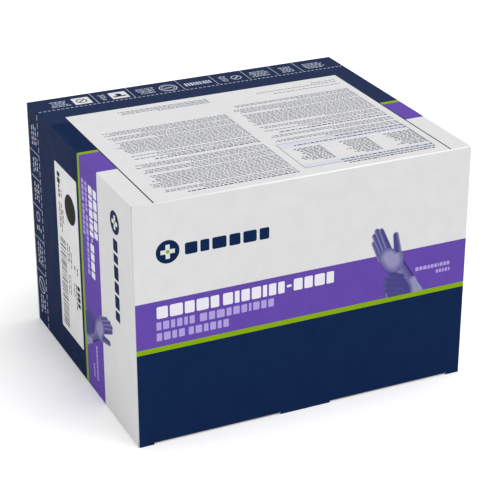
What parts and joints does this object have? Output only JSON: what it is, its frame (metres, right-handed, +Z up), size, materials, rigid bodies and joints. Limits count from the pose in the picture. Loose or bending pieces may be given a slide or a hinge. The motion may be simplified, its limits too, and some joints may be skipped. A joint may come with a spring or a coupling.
{
  "type": "glove box",
  "caption": "Closed printed paperboard carton of sterile exam gloves, with a tuck lid on a crease, folding dust flaps and stacked glove pouches inside.",
  "frame": {"origin": "middle of the base, on the surface the carton stands on", "axes": "+Z up; the lid faces -Y and its printed artwork reads upright from there; +X is the carton's right-hand side seen from the lid; +Y is the sealed rear end"},
  "size_m": [0.2701, 0.229, 0.191],
  "materials": {
    "printed_board": "satin",
    "plain_board": "matte",
    "label_paper": "satin",
    "pouch_paper": "matte"
  },
  "bodies": {
    "carton": {"top_wall": "printed_board", "bottom_wall": "printed_board", "left_wall": "printed_board", "right_wall": "printed_board", "rear_outer_flap": "printed_board", "rear_inner_flap": "printed_board", "glue_flap": "plain_board", "rear_dust_flap_left": "plain_board", "rear_dust_flap_right": "plain_board", "size_label": "label_paper", "pouch_left_01": "pouch_paper", "pouch_left_02": "pouch_paper", "pouch_left_03": "pouch_paper", "pouch_left_04": "pouch_paper", "pouch_left_05": "pouch_paper", "pouch_left_06": "pouch_paper", "pouch_left_07": "pouch_paper", "pouch_left_08": "pouch_paper", "pouch_left_09": "pouch_paper", "pouch_left_10": "pouch_paper", "pouch_left_11": "pouch_paper", "pouch_left_12": "pouch_paper", "pouch_left_13": "pouch_paper", "pouch_left_14": "pouch_paper", "pouch_left_15": "pouch_paper", "pouch_left_16": "pouch_paper", "pouch_left_17": "pouch_paper", "pouch_left_18": "pouch_paper", "pouch_left_19": "pouch_paper", "pouch_left_20": "pouch_paper", "pouch_left_21": "pouch_paper", "pouch_left_bundle": "pouch_paper", "pouch_right_01": "pouch_paper", "pouch_right_02": "pouch_paper", "pouch_right_03": "pouch_paper", "pouch_right_04": "pouch_paper", "pouch_right_05": "pouch_paper", "pouch_right_06": "pouch_paper", "pouch_right_07": "pouch_paper", "pouch_right_08": "pouch_paper", "pouch_right_09": "pouch_paper", "pouch_right_10": "pouch_paper", "pouch_right_11": "pouch_paper", "pouch_right_12": "pouch_paper", "pouch_right_13": "pouch_paper", "pouch_right_14": "pouch_paper", "pouch_right_15": "pouch_paper", "pouch_right_16": "pouch_paper", "pouch_right_17": "pouch_paper", "pouch_right_18": "pouch_paper", "pouch_right_19": "pouch_paper", "pouch_right_20": "pouch_paper", "pouch_right_21": "pouch_paper", "pouch_right_bundle": "pouch_paper"},
    "lid": {"lid": "printed_board"},
    "tuck_tab_left": {"tuck_tab_left": "plain_board"},
    "tuck_tab_right": {"tuck_tab_right": "plain_board"},
    "dust_flap_left": {"front_dust_flap_left": "plain_board"},
    "dust_flap_right": {"front_dust_flap_right": "plain_board"}
  },
  "joints": [
    {"name": "lid_hinge", "type": "hinge", "parent": "carton", "child": "lid", "pos_m": [0, -0.1145, 0.191], "axis": [-1, 0, 0], "range_deg": [0, 175]},
    {"name": "tuck_tab_left_fold", "type": "hinge", "parent": "lid", "child": "tuck_tab_left", "pos_m": [-0.072, -0.1145, 0.0011], "axis": [-1, 0, 0], "range_deg": [0, 35]},
    {"name": "tuck_tab_right_fold", "type": "hinge", "parent": "lid", "child": "tuck_tab_right", "pos_m": [0.072, -0.1145, 0.0011], "axis": [-1, 0, 0], "range_deg": [0, 35]},
    {"name": "dust_flap_left_fold", "type": "hinge", "parent": "carton", "child": "dust_flap_left", "pos_m": [-0.135, -0.1134, 0.0955], "axis": [0, 0, -1], "range_deg": [0, 105]},
    {"name": "dust_flap_right_fold", "type": "hinge", "parent": "carton", "child": "dust_flap_right", "pos_m": [0.135, -0.1134, 0.0955], "axis": [0, 0, 1], "range_deg": [0, 105]}
  ],
  "couplings": [
    {"joint": "tuck_tab_left_fold", "follows": "lid_hinge", "ratio": 0.2},
    {"joint": "tuck_tab_right_fold", "follows": "lid_hinge", "ratio": 0.2},
    {"joint": "dust_flap_left_fold", "follows": "lid_hinge", "ratio": 0.6},
    {"joint": "dust_flap_right_fold", "follows": "lid_hinge", "ratio": 0.6}
  ]
}
